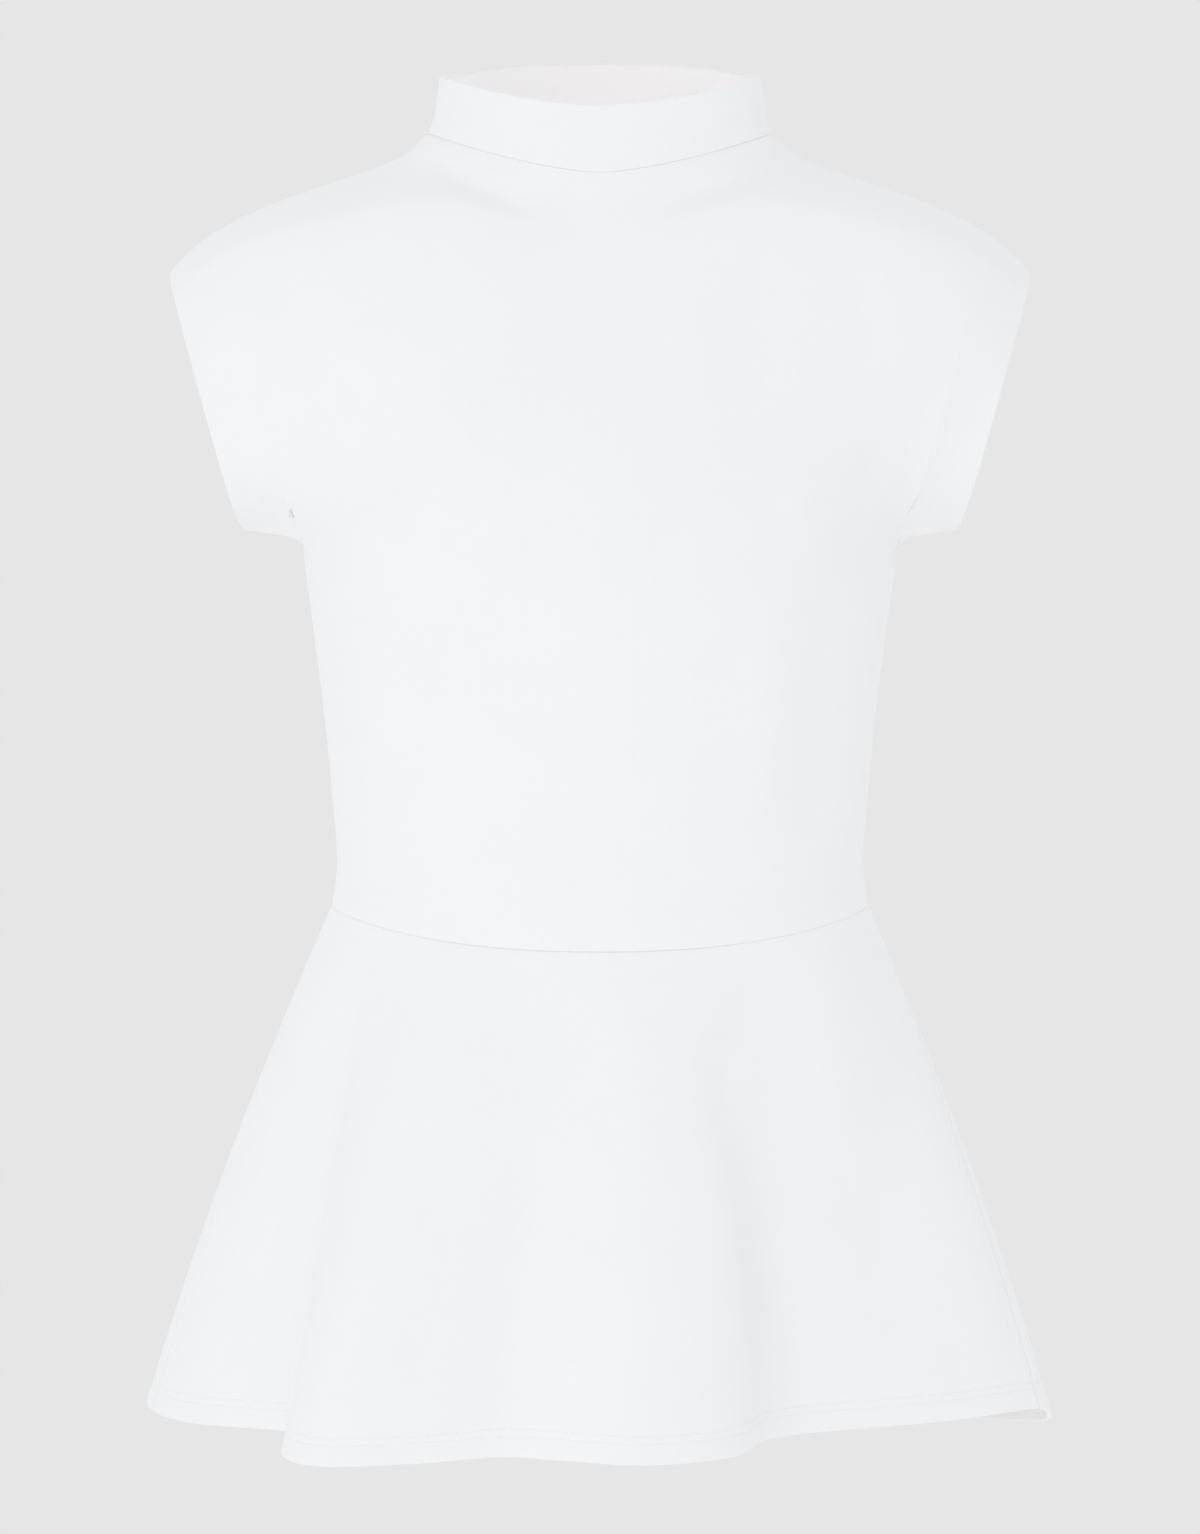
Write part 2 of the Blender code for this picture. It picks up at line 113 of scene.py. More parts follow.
def finePlaces(start, end, count, closeStart=(), closeEnd=()):
    # even places from start to end, with some more close to either end
    places = {start + (end - start) * n / count for n in range(count + 1)}
    places |= {start + step for step in closeStart}
    places |= {end - step for step in closeEnd}
    return sorted(places)


# Neckline and waist seam, shared by the pieces on both sides of them
neckline = {
    "halfWidth": 0.0840,
    "halfDepth": 0.0625,
    "sideZ": 0.0015,
    "frontDrop": 0.0187,
    "backRise": 0.0025,
    "rounding": 1.5,
}
waist = {"sideZ": -0.377, "frontDrop": 0.013, "backDrop": 0.005, "rounding": 2.4}


def neckPoint(side, turn):
    across = abs(math.sin(turn))
    change = -neckline["frontDrop"] if side == front else neckline["backRise"]
    z = neckline["sideZ"] + change * (1 - across ** neckline["rounding"])
    y = side * neckline["halfDepth"] * math.cos(turn)
    return Vector((neckline["halfWidth"] * math.sin(turn), y, z))


def waistZ(side, across):
    drop = waist["frontDrop"] if side == front else waist["backDrop"]
    return waist["sideZ"] - drop * (1 - abs(across) ** waist["rounding"])


# Bodice: torso sections, the shoulder seam, and the lines that run up the yoke and over the shoulder
Torso = namedtuple("Torso", "z halfWidth frontDepth backDepth")
Shoulder = namedtuple("Shoulder", "x z")
YokeLine = namedtuple("YokeLine", "strip crestX crestDepth crestZ baseX baseDepth baseZ")
Across = namedtuple("Across", "centreDepth edgeDepth rounding centreZ edgeZ")
Drag = namedtuple("Drag", "startX startZ endX endZ height width")
Crease = namedtuple("Crease", "height width route")  # its route is seen from the front, as x and z
bodice = {
    "armpitZ": -0.200,
    "underarmX": 0.174,
    "underarmZ": -0.193,
    "underarmBend": 1.6,
    "halfStrips": 18,
    "sideStrip": 16,
    "neckStrip": 7,
    "fineStrips": 4,  # to each strip
    "torsoRows": 36,
    "yokeRows": 64,
    "armholeTurn": 0.010,
    "crestSpread": 0.16,
    "torsoStep": 0.004,
    "yokeRise": 0.35,
    "crestDrop": 0.026,
    "crestLean": 0.009,
    "edgeLean": 0.016,
    "edgeTuck": 0.0075,
    "edgeFill": 0.001,
    "underarmReach": (0.0025, 0.034, 0.002),
    "reachFrom": 0.62,  # share of the half width where the lines begin to run forward under the arm
    "torso": [
        Torso(-0.392, 0.1328, 0.0990, 0.0842),
        Torso(-0.377, 0.1318, 0.0985, 0.0838),
        Torso(-0.358, 0.1292, 0.0990, 0.0842),
        Torso(-0.325, 0.1313, 0.1035, 0.0880),
        Torso(-0.281, 0.1355, 0.1110, 0.0940),
        Torso(-0.237, 0.1409, 0.1178, 0.0988),
        Torso(-0.215, 0.1441, 0.1192, 0.1008),
        Torso(-0.200, 0.1457, 0.1182, 0.1012),
    ],
    "shoulderSeam": [
        Shoulder(0.0840, 0.0015),
        Shoulder(0.0895, -0.0058),
        Shoulder(0.1034, -0.0139),
        Shoulder(0.1290, -0.0226),
        Shoulder(0.1580, -0.0324),
        Shoulder(0.1800, -0.0422),
        Shoulder(0.1960, -0.0520),
        Shoulder(0.2063, -0.0613),
        Shoulder(0.2108, -0.0672),
    ],
    "frontYoke": [
        YokeLine(0, 0.000, 0.0735, -0.052, 0.000, 0.0650, -0.030),
        YokeLine(2, 0.038, 0.0690, -0.038, 0.039, 0.0590, -0.027),
        YokeLine(3, 0.053, 0.0665, -0.032, 0.056, 0.0525, -0.022),
        YokeLine(4, 0.066, 0.0640, -0.029, 0.071, 0.0430, -0.016),
        YokeLine(5, 0.078, 0.0615, -0.029, 0.083, 0.0290, -0.011),
        YokeLine(6, 0.088, 0.0595, -0.029, 0.091, 0.0170, -0.0105),
        YokeLine(7, 0.098, 0.0575, -0.030, 0.098, 0.0130, -0.0125),
        YokeLine(9, 0.113, 0.0550, -0.033, 0.112, 0.0170, -0.0185),
        YokeLine(11, 0.132, 0.0520, -0.038, 0.133, 0.0180, -0.0250),
        YokeLine(13, 0.153, 0.0480, -0.044, 0.156, 0.0165, -0.0328),
        YokeLine(16, 0.184, 0.0380, -0.057, 0.188, 0.0120, -0.0495),
        YokeLine(18, 0.2078, 0.0220, -0.078, 0.2102, 0.0090, -0.0705),
    ],
    "backYoke": [
        YokeLine(0, 0.000, 0.0820, -0.036, 0.000, 0.0680, -0.012),
        YokeLine(3, 0.053, 0.0720, -0.026, 0.056, 0.0540, -0.009),
        YokeLine(5, 0.078, 0.0640, -0.025, 0.083, 0.0310, -0.008),
        YokeLine(7, 0.098, 0.0580, -0.027, 0.098, 0.0140, -0.0095),
        YokeLine(11, 0.132, 0.0500, -0.036, 0.133, 0.0150, -0.0215),
        YokeLine(16, 0.184, 0.0370, -0.055, 0.188, 0.0120, -0.0458),
        YokeLine(18, 0.2078, 0.0220, -0.078, 0.2102, 0.0090, -0.0688),
    ],
    "frontChest": Across(0.1015, 0.052, 2.0, -0.125, -0.131),
    "backChest": Across(0.0975, 0.052, 2.0, -0.118, -0.131),
    "frontDrags": [
        Drag(-0.170, -0.160, -0.127, -0.193, 0.0022, 0.011),
        Drag(-0.127, -0.193, -0.050, -0.207, 0.0020, 0.014),
        Drag(-0.165, -0.186, -0.120, -0.215, -0.0016, 0.009),
        Drag(0.160, -0.145, 0.098, -0.173, 0.0024, 0.012),
        Drag(0.098, -0.173, 0.050, -0.192, 0.0018, 0.014),
        Drag(0.166, -0.178, 0.118, -0.205, -0.0024, 0.010),
    ],
    "backDrags": [
        Drag(-0.166, -0.150, -0.105, -0.182, 0.0022, 0.012),
        Drag(-0.164, -0.180, -0.122, -0.208, -0.0018, 0.010),
        Drag(0.164, -0.156, 0.110, -0.190, 0.0020, 0.012),
        Drag(0.166, -0.184, 0.124, -0.212, -0.0018, 0.010),
    ],
    "underarmFolds": [  # here the cloth is drawn smooth across the fold above each underarm
        Drag(-0.168, -0.125, -0.150, -0.197, 1.5, 0.017),
        Drag(0.170, -0.120, 0.151, -0.197, 1.5, 0.017),
    ],
    "foldEase": 0.0016,
    "foldRounds": 140,
    "leastShare": 0.02,
    "frontCreases": [
        # the foot of the neck, where the cloth turns up into the collar, and the light ridge beside it
        Crease(-0.0020, 0.008, [(-0.088, -0.006), (-0.063, -0.022), (-0.044, -0.030), (-0.024, -0.034)]),
        Crease(0.0014, 0.006, [(-0.083, 0.000), (-0.056, -0.014), (-0.030, -0.026)]),
        Crease(-0.0022, 0.008, [(0.088, -0.003), (0.063, -0.022), (0.045, -0.028), (0.032, -0.033)]),
        Crease(0.0012, 0.006, [(0.082, 0.001), (0.058, -0.012), (0.036, -0.024)]),
        # long soft folds down the chest from the shoulders
        Crease(-0.0016, 0.012, [(-0.158, -0.075), (-0.135, -0.111), (-0.112, -0.142), (-0.092, -0.176)]),
        Crease(0.0012, 0.010, [(-0.092, -0.085), (-0.078, -0.122), (-0.066, -0.152)]),
        Crease(0.0012, 0.013, [(0.040, -0.060), (0.047, -0.110), (0.050, -0.165)]),
        Crease(-0.0012, 0.013, [(0.076, -0.044), (0.080, -0.090), (0.074, -0.140)]),
        Crease(-0.0016, 0.011, [(0.152, -0.082), (0.163, -0.096), (0.172, -0.112)]),
        Crease(-0.0012, 0.009, [(0.122, -0.062), (0.128, -0.080), (0.124, -0.096)]),
        # drags that the arms pull from the underarm
        Crease(0.0018, 0.008, [(-0.132, -0.178), (-0.116, -0.186), (-0.092, -0.194)]),
        Crease(-0.0020, 0.009, [(-0.168, -0.180), (-0.150, -0.187), (-0.134, -0.196)]),
        Crease(0.0020, 0.009, [(0.128, -0.156), (0.106, -0.167), (0.084, -0.176)]),
        Crease(-0.0034, 0.010, [(0.172, -0.181), (0.150, -0.185), (0.130, -0.189), (0.108, -0.196)]),
        # the cloth turns away to the side more sharply on the right
        Crease(0.0024, 0.014, [(0.090, -0.206), (0.083, -0.260), (0.079, -0.320), (0.076, -0.372)]),
        Crease(-0.0020, 0.013, [(0.113, -0.215), (0.108, -0.280), (0.104, -0.350)]),
        Crease(0.0010, 0.012, [(-0.112, -0.215), (-0.106, -0.280), (-0.102, -0.345)]),
    ],
    "backCreases": [
        Crease(-0.0022, 0.008, [(-0.080, 0.002), (-0.058, -0.014), (-0.034, -0.024), (-0.012, -0.028)]),
        Crease(-0.0020, 0.008, [(0.082, 0.002), (0.060, -0.014), (0.036, -0.023), (0.016, -0.027)]),
        Crease(-0.0015, 0.012, [(-0.150, -0.080), (-0.128, -0.118), (-0.108, -0.160)]),
        Crease(0.0013, 0.013, [(0.062, -0.070), (0.070, -0.120), (0.066, -0.175)]),
        Crease(-0.0014, 0.011, [(0.148, -0.074), (0.130, -0.108), (0.114, -0.150)]),
        Crease(0.0018, 0.009, [(-0.130, -0.162), (-0.112, -0.172), (-0.088, -0.180)]),
        Crease(-0.0020, 0.010, [(-0.166, -0.176), (-0.142, -0.186), (-0.118, -0.199)]),
        Crease(0.0018, 0.009, [(0.130, -0.168), (0.114, -0.177), (0.092, -0.184)]),
        Crease(-0.0018, 0.009, [(0.166, -0.180), (0.142, -0.190), (0.122, -0.203)]),
        # the hollow of the back, and two slack folds over the waist
        Crease(-0.0022, 0.018, [(0.004, -0.190), (0.001, -0.260), (-0.003, -0.340)]),
        Crease(0.0018, 0.008, [(-0.074, -0.318), (-0.040, -0.328), (0.006, -0.326)]),
        Crease(-0.0016, 0.007, [(-0.062, -0.334), (-0.020, -0.342), (0.034, -0.338)]),
        Crease(0.0014, 0.008, [(0.022, -0.344), (0.058, -0.346), (0.088, -0.336)]),
    ],
}


def torsoPoint(side, turn, z):
    halfWidth = read(bodice["torso"], "z", "halfWidth", z)
    depth = read(bodice["torso"], "z", "frontDepth" if side == front else "backDepth", z)
    y = max(depth * math.cos(turn), cloth["seamGap"] / 2)
    return Vector((halfWidth * math.sin(turn), side * y, z))


def yokeFoot(side, strip):
    # on the torso, or out along the underarm seam
    if strip <= bodice["sideStrip"]:
        return torsoPoint(side, quarter * strip / bodice["sideStrip"], bodice["armpitZ"])
    out = (strip - bodice["sideStrip"]) / (bodice["halfStrips"] - bodice["sideStrip"])
    armpit = torsoPoint(side, quarter, bodice["armpitZ"])
    bend = bodice["underarmBend"]
    x = between(armpit.x, bodice["underarmX"], out**bend)
    return Vector((x, armpit.y, between(armpit.z, bodice["underarmZ"], out ** (1 / bend))))


def yokeTop(side, strip):
    # on the neckline, or out along the shoulder seam
    seam = bodice["shoulderSeam"]
    halfGap = cloth["seamGap"] / 2
    if strip <= bodice["neckStrip"]:
        top = neckPoint(side, quarter * strip / bodice["neckStrip"])
        return Vector((top.x, side * max(abs(top.y), halfGap), top.z - halfGap))
    out = (strip - bodice["neckStrip"]) / (bodice["halfStrips"] - bodice["neckStrip"])
    x = between(seam[0].x, seam[-1].x, out)
    return Vector((x, side * halfGap, read(seam, "x", "z", x)))


def yokeLine(side, strip):
    # control points of one line up the right half of the yoke
    table = bodice["frontYoke"] if side == front else bodice["backYoke"]
    chest = bodice["frontChest"] if side == front else bodice["backChest"]
    foot = yokeFoot(side, strip)
    top = yokeTop(side, strip)
    out = strip / bodice["halfStrips"]
    crest = Vector([read(table, "strip", name, strip) for name in ("crestX", "crestDepth", "crestZ")])
    base = Vector([read(table, "strip", name, strip) for name in ("baseX", "baseDepth", "baseZ")])
    crest.y *= side
    base.y *= side
    tuck = bodice["edgeTuck"]
    lean = between(bodice["crestLean"], bodice["edgeLean"], out)
    underCrest = crest + Vector((-tuck * out ** 4, side * lean, -bodice["crestDrop"]))

    fill = bodice["edgeFill"]
    midX = between(foot.x, crest.x, 0.5) + fill * eased(0.8, 1.0, out)
    edgeX = between(bodice["underarmX"], bodice["shoulderSeam"][-1].x, 0.5) + fill
    share = (midX / edgeX) ** chest.rounding
    midDepth = between(chest.centreDepth, chest.edgeDepth, share)
    mid = Vector((midX, side * midDepth, between(chest.centreZ, chest.edgeZ, out)))

    # near the centre the line goes on as the torso came up, and at the armpit it first runs forward
    turn = quarter * min(1.0, strip / bodice["sideStrip"])
    below = torsoPoint(side, turn, bodice["armpitZ"] - bodice["torsoStep"])
    slope = (torsoPoint(side, turn, bodice["armpitZ"]) - below) / bodice["torsoStep"]
    upward = foot + slope * (mid.z - foot.z) * bodice["yokeRise"]
    reach = Vector(bodice["underarmReach"])
    reach.y *= side
    forward = foot + reach
    sideShare = bodice["sideStrip"] / bodice["halfStrips"]
    start = upward.lerp(forward, eased(bodice["reachFrom"], sideShare, out))
    crestLow = crest.lerp(underCrest, bodice["crestSpread"])
    crestHigh = crest.lerp(base, bodice["crestSpread"])
    return [foot, start, mid, underCrest, crestLow, crestHigh, base, top]


def dragHeight(drags, point):
    height = 0
    here = Vector((point.x, point.z))
    for drag in drags:
        start = Vector((drag.startX, drag.startZ))
        run = Vector((drag.endX, drag.endZ)) - start
        part = min(1.0, max(0.0, (here - start).dot(run) / run.length_squared))
        distance = (here - start - run * part).length
        height += drag.height * math.exp(-((distance / drag.width) ** 2))
    return height


def sewnDistance(points, keys):
    # distance of each point of one grid line from the line's first point
    total = 0
    distances = {keys[0]: 0.0}
    for before, here in zip(keys, keys[1:]):
        total += (points[here] - points[before]).length
        distances[here] = total
    return distances


def creaseHeight(creases, point):
    # the soft ridges, and troughs of a height below 0, at a point. Each fades out towards both of its ends
    here = Vector((point.x, point.z))
    total = 0
    for crease in creases:
        stops = [Vector(stop) for stop in crease.route]
        spans = [(end - start).length for start, end in zip(stops, stops[1:])]
        nearest = 1.0
        along = 0
        for n, (start, end) in enumerate(zip(stops, stops[1:])):
            run = end - start
            part = min(1.0, max(0.0, (here - start).dot(run) / run.length_squared))
            distance = (here - start - run * part).length
            if distance < nearest:
                nearest = distance
                along = (sum(spans[:n]) + spans[n] * part) / sum(spans)
        fade = eased(-0.08, 0.3, along) * eased(1.08, 0.7, along)
        total += crease.height * fade * math.exp(-((nearest / crease.width) ** 2))
    return total


def seamDepth(distance, underCollar=False):
    # how far the cloth lies below its plain surface beside a seam
    dip, roll = ("neckDip", "neckRoll") if underCollar else ("seamDip", "seamRoll")
    groove = cloth[dip] * max(0, 1 - distance / cloth[roll]) ** 2
    fromPad = (distance - cloth["allowanceAt"]) / cloth["allowanceWidth"]
    pad = cloth["allowance"] * math.exp(-(fromPad**2))
    return groove - pad * eased(0, cloth["allowanceAt"], distance)


def closedWall(name, points, faces, uvs, sewn, turned, heldAt, doubleWidth, relief, underCollar=()):
    # sewn and turned give a point's distance from the nearest sewn seam and from the nearest turned edge
    mesh = bmesh.new()
    uvLayer = mesh.loops.layers.uv.new("UVMap")
    # marks the inner wall, which the material paints darker and warmer as painted shade
    insideLayer = mesh.verts.layers.float.new("inside")
    outer = {key: mesh.verts.new(point) for key, point in points.items()}
    uvOf = {outer[key]: uvs[key] for key in points}
    for face in faces:
        mesh.faces.new([outer[key] for key in face])
    mesh.normal_update()
    normals = {key: vertex.normal.copy() for key, vertex in outer.items()}
    for key, vertex in outer.items():
        vertex.co += normals[key] * relief(key, vertex.co)
    mesh.normal_update()
    rims = [edge.link_loops[0] for edge in mesh.edges if edge.is_boundary]
    rims = [(loop.vert, loop.link_loop_next.vert) for loop in rims]
    moves = {}
    for key, vertex in outer.items():
        inward = -vertex.normal
        for axis in heldAt(key):
            inward[axis] = 0
        stretch = 1 / max(inward.length, cloth["leastLean"])
        inward = inward.normalized() * stretch
        seam = sewn.get(key, 1)
        edge = turned.get(key, 1)
        wall = cloth["wall"]
        if edge < doubleWidth + cloth["foldStep"]:
            double = eased(doubleWidth + cloth["foldStep"], doubleWidth, edge)
            wall = between(cloth["wall"], cloth["doubleWall"], double)
        dip = seamDepth(seam, key in underCollar)
        radius = wall / 2
        if edge < radius:
            dip = cloth["edgeRound"] * (radius - math.sqrt(radius ** 2 - (radius - edge) ** 2))
            moves[vertex] = (vertex.co + inward * dip, vertex.co + inward * (wall - dip))
        else:
            moves[vertex] = (vertex.co + inward * dip, vertex.co + inward * wall)
    inner = {}
    for vertex, (outside, inside) in moves.items():
        vertex.co = outside
        inner[vertex] = mesh.verts.new(inside)
        inner[vertex][insideLayer] = 1.0
        uvOf[inner[vertex]] = uvOf[vertex]
    for face in faces:
        mesh.faces.new([inner[outer[key]] for key in reversed(face)])
    for start, end in rims:
        mesh.faces.new((end, start, inner[start], inner[end]))
    for face in mesh.faces:
        face.smooth = True
        for loop in face.loops:
            loop[uvLayer].uv = uvOf[loop.vert]
    data = bpy.data.meshes.new(name)
    mesh.to_mesh(data)
    mesh.free()
    piece = bpy.data.objects.new(name, data)
    bpy.context.scene.collection.objects.link(piece)
    return piece


def gridFaces(points, columns, rows, side):
    faces = []
    for left, right in zip(columns, columns[1:]):
        for low, high in zip(rows, rows[1:]):
            corners = [(left, low), (right, low), (right, high), (left, high)]
            if all(corner in points for corner in corners):
                faces.append(corners if side == front else corners[::-1])
    return faces


def drawSmooth(points, columns, rows, sewn, turned):
    # evens out the grid across the underarm folds, where a point follows its nearer neighbours the more
    shares = {}
    for key, point in points.items():
        share = min(1, dragHeight(bodice["underarmFolds"], point))
        share *= eased(0, bodice["foldEase"], sewn[key]) * eased(0, bodice["foldEase"], turned.get(key, 1))
        if share > bodice["leastShare"]:
            shares[key] = share
    columnAt = {column: n for n, column in enumerate(columns)}
    rowAt = {row: n for n, row in enumerate(rows)}
    pulls = {}
    for column, row in shares:
        around = [(columns[columnAt[column] + step], row) for step in (-1, 1)]
        around += [(column, rows[rowAt[row] + step]) for step in (-1, 1)]
        pulls[column, row] = [(near, 1 / (points[near] - points[column, row]).length) for near in around]
    for _ in range(bodice["foldRounds"]):
        moved = {}
        for key, share in shares.items():
            total = sum((points[near] * pull for near, pull in pulls[key]), Vector())
            allPulls = sum(pull for _, pull in pulls[key])
            moved[key] = points[key].lerp(total / allPulls, share)
        points.update(moved)


def sewBodice(name, side):
    drags = bodice["frontDrags"] if side == front else bodice["backDrags"]
    sideStrip = bodice["sideStrip"]
    closeToSide = (0.02, 0.05, 0.10, 0.16)
    closeToEdge = (0.012, 0.03, 0.06, 0.09, 0.13, 0.72, 0.78)
    closeToWaist = (0.002, 0.005, 0.009, 0.014)
    closeToFoot = (0.0008, 0.002, 0.004, 0.006)
    closeToTop = (0.0016, 0.004, 0.007, 0.011)
    half = finePlaces(0, sideStrip, sideStrip * bodice["fineStrips"], (), closeToSide)
    outerStrips = (bodice["halfStrips"] - sideStrip) * 2 * bodice["fineStrips"]
    half += finePlaces(sideStrip, bodice["halfStrips"], outerStrips, closeToSide, closeToEdge)[1:]
    columns = [-place for place in reversed(half[1:])] + half
    # rows from -1 at the waist seam to 0 at the armpit and 1 at the neckline or shoulder seam
    rows = finePlaces(-1, 0, bodice["torsoRows"], closeToWaist)
    rows += finePlaces(0, 1, bodice["yokeRows"], closeToFoot, closeToTop)[1:]

    points = {}
    for column in columns:
        strip = abs(column)
        hand = -1 if column < 0 else 1
        turn = quarter * strip / sideStrip
        controls = yokeLine(side, strip)
        for row in rows:
            if row < 0 and strip <= sideStrip:
                bottom = waistZ(side, math.sin(turn)) + cloth["seamGap"] / 2
                point = torsoPoint(side, turn, between(bottom, bodice["armpitZ"], row + 1))
            elif row >= 0:
                point = splinePoint(controls, row)
            else:
                continue
            point.x *= hand
            points[column, row] = point

    sewn = {}
    turned = {}
    uvs = {}
    for column in columns:
        here = [(column, row) for row in rows if (column, row) in points]
        fromTop = sewnDistance(points, here[::-1])
        fromFoot = sewnDistance(points, here)
        for key in here:
            sewn[key] = min(fromTop[key], fromFoot[key])
            uvs[key] = [0, fromFoot[key]]
    for row in rows:
        here = [(column, row) for column in columns if (column, row) in points]
        fromLeft = sewnDistance(points, here)
        fromRight = sewnDistance(points, here[::-1])
        middle = fromLeft[0, row]
        for key in here:
            near = min(fromLeft[key], fromRight[key])
            if row <= 0:
                if abs(key[0]) <= sideStrip:
                    seamKey = (math.copysign(sideStrip, key[0]), row)
                    near = (points[key] - points[seamKey]).length
                    sewn[key] = min(sewn[key], near)
            else:
                turned[key] = near
            uvs[key][0] = fromLeft[key] - middle
    for key, point in points.items():
        point.y += side * dragHeight(drags, point) * eased(0, cloth["flattened"], sewn[key])
    drawSmooth(points, columns, rows, sewn, turned)
    creases = bodice["frontCreases"] if side == front else bodice["backCreases"]
    underCollar = set()
    for key, point in points.items():
        column, row = key
        if row > 0.5 and abs(column) <= bodice["neckStrip"] + 1:
            toNeck = (point - points[column, 1]).length
            if toNeck <= sewn[key] + tiny:
                underCollar.add(key)

    def relief(key, point):
        return creaseHeight(creases, point) * eased(0, cloth["flattened"], sewn[key])

    def heldAt(key):
        column, row = key
        strip = abs(column)
        axes = []
        atSide = strip == sideStrip and row <= 0
        atUnderarm = strip > sideStrip and row == 0
        atShoulder = strip >= bodice["neckStrip"] and row == 1
        if atSide or atUnderarm or atShoulder:
            axes.append(1)
        if row == -1 or (row == 1 and strip <= bodice["neckStrip"]):
            axes.append(2)
        return axes

    faces = gridFaces(points, columns, rows, side)
    width = bodice["armholeTurn"]
    return closedWall(name, points, faces, uvs, sewn, turned, heldAt, width, relief, underCollar)


bodiceFront = sewBodice("bodiceFrontCloth", front)
bodiceBack = sewBodice("bodiceBackCloth", back)
print("bodice made")

# Peplum: a flared ring whose hem swings in and out in flutes
Flute = namedtuple("Flute", "angle radius drop")
peplum = {
    "hemZ": -0.6275,
    "bell": 0.21,
    "hemTurn": 0.012,  # as on the solids
    "fineStrips": 240,
    "fineRows": 60,
    "flutes": [
        Flute(-98, 0.225, 0.000),
        Flute(-90, 0.222, 0.001),
        Flute(-80, 0.206, 0.001),
        Flute(-65, 0.166, 0.000),
        Flute(-55, 0.186, 0.000),
        Flute(-45, 0.211, 0.000),
        Flute(-38, 0.213, 0.000),
        Flute(-28, 0.182, 0.000),
        Flute(-18, 0.156, -0.001),
        Flute(-6, 0.160, -0.001),
        Flute(7, 0.167, 0.000),
        Flute(24, 0.156, 0.000),
        Flute(38, 0.127, 0.000),
        Flute(49, 0.123, 0.000),
        Flute(60, 0.134, 0.000),
        Flute(69, 0.152, 0.000),
        Flute(78, 0.177, 0.000),
        Flute(90, 0.218, 0.000),
        Flute(98, 0.2250, 0.011),
        Flute(108, 0.198, 0.014),
        Flute(120, 0.164, 0.008),
        Flute(138, 0.204, 0.003),
        Flute(156, 0.158, 0.003),
        Flute(176, 0.192, 0.004),
        Flute(197, 0.156, 0.003),
        Flute(218, 0.204, 0.002),
        Flute(238, 0.163, 0.001),
        Flute(252, 0.196, 0.001),
        Flute(262, 0.225, 0.000),
        Flute(270, 0.222, 0.001),
        Flute(280, 0.206, 0.001),
    ],
    "stitchLines": (0.0100, 0.0136),  # height of the two rows of hem stitches above the edge
    "stitchChannel": 0.0003,
    "channelWidth": 0.0009,
    # more rows at the round edge and where the turn-up ends
    "hemSteps": (0.0003, 0.0007, 0.0012, 0.0018, 0.0118, 0.0122, 0.0126),
    "channelSteps": (-1.4, -0.7, 0, 0.7, 1.4),  # in widths of the channel
    "lengthSamples": 1440,
    "frontCreases": [
        # the deep fold right of the centre runs in, down and out again, round a full egg-shaped bulge
        Crease(-0.0050, 0.0125, [
            (0.088, -0.384), (0.070, -0.418), (0.062, -0.441), (0.066, -0.470),
            (0.073, -0.499), (0.081, -0.534), (0.088, -0.566), (0.096, -0.606),
        ]),
        Crease(0.0042, 0.019, [(0.114, -0.386), (0.107, -0.426), (0.111, -0.460), (0.120, -0.500)]),
        Crease(0.0026, 0.014, [(0.150, -0.440), (0.168, -0.500), (0.184, -0.556), (0.196, -0.610)]),
        Crease(-0.0018, 0.013, [(0.130, -0.500), (0.140, -0.545), (0.150, -0.595)]),
        Crease(0.0016, 0.014, [(0.006, -0.398), (0.016, -0.450), (0.020, -0.510)]),
        Crease(-0.0016, 0.015, [(-0.034, -0.398), (-0.042, -0.450), (-0.046, -0.515)]),
        Crease(0.0020, 0.013, [(-0.090, -0.398), (-0.112, -0.470), (-0.128, -0.540), (-0.136, -0.606)]),
        Crease(-0.0022, 0.010, [(-0.146, -0.470), (-0.160, -0.530), (-0.172, -0.592)]),
    ],
    "backCreases": [
        Crease(0.0030, 0.014, [(-0.072, -0.386), (-0.084, -0.440), (-0.100, -0.500), (-0.118, -0.590)]),
        Crease(-0.0034, 0.012, [(-0.030, -0.384), (-0.038, -0.430), (-0.040, -0.480), (-0.052, -0.560)]),
        Crease(0.0024, 0.013, [(0.010, -0.388), (0.012, -0.440), (0.008, -0.510)]),
        Crease(-0.0032, 0.012, [(0.046, -0.386), (0.052, -0.430), (0.066, -0.490), (0.072, -0.560)]),
        Crease(0.0028, 0.013, [(0.082, -0.388), (0.098, -0.450), (0.120, -0.530)]),
    ],
}


def alongLength(curve, shares):
    # points at those shares of a curve's length
    fine = peplum["lengthSamples"]
    samples = [curve(n / fine) for n in range(fine + 1)]
    lengths = [0]
    for n in range(fine):
        lengths.append(lengths[-1] + (samples[n + 1] - samples[n]).length)
    places = []
    n = 0
    for share in shares:
        wanted = lengths[-1] * share
        while n < fine - 1 and lengths[n + 1] < wanted:
            n += 1
        part = (wanted - lengths[n]) / (lengths[n + 1] - lengths[n])
        places.append(samples[n].lerp(samples[n + 1], min(1.0, part)))
    return places


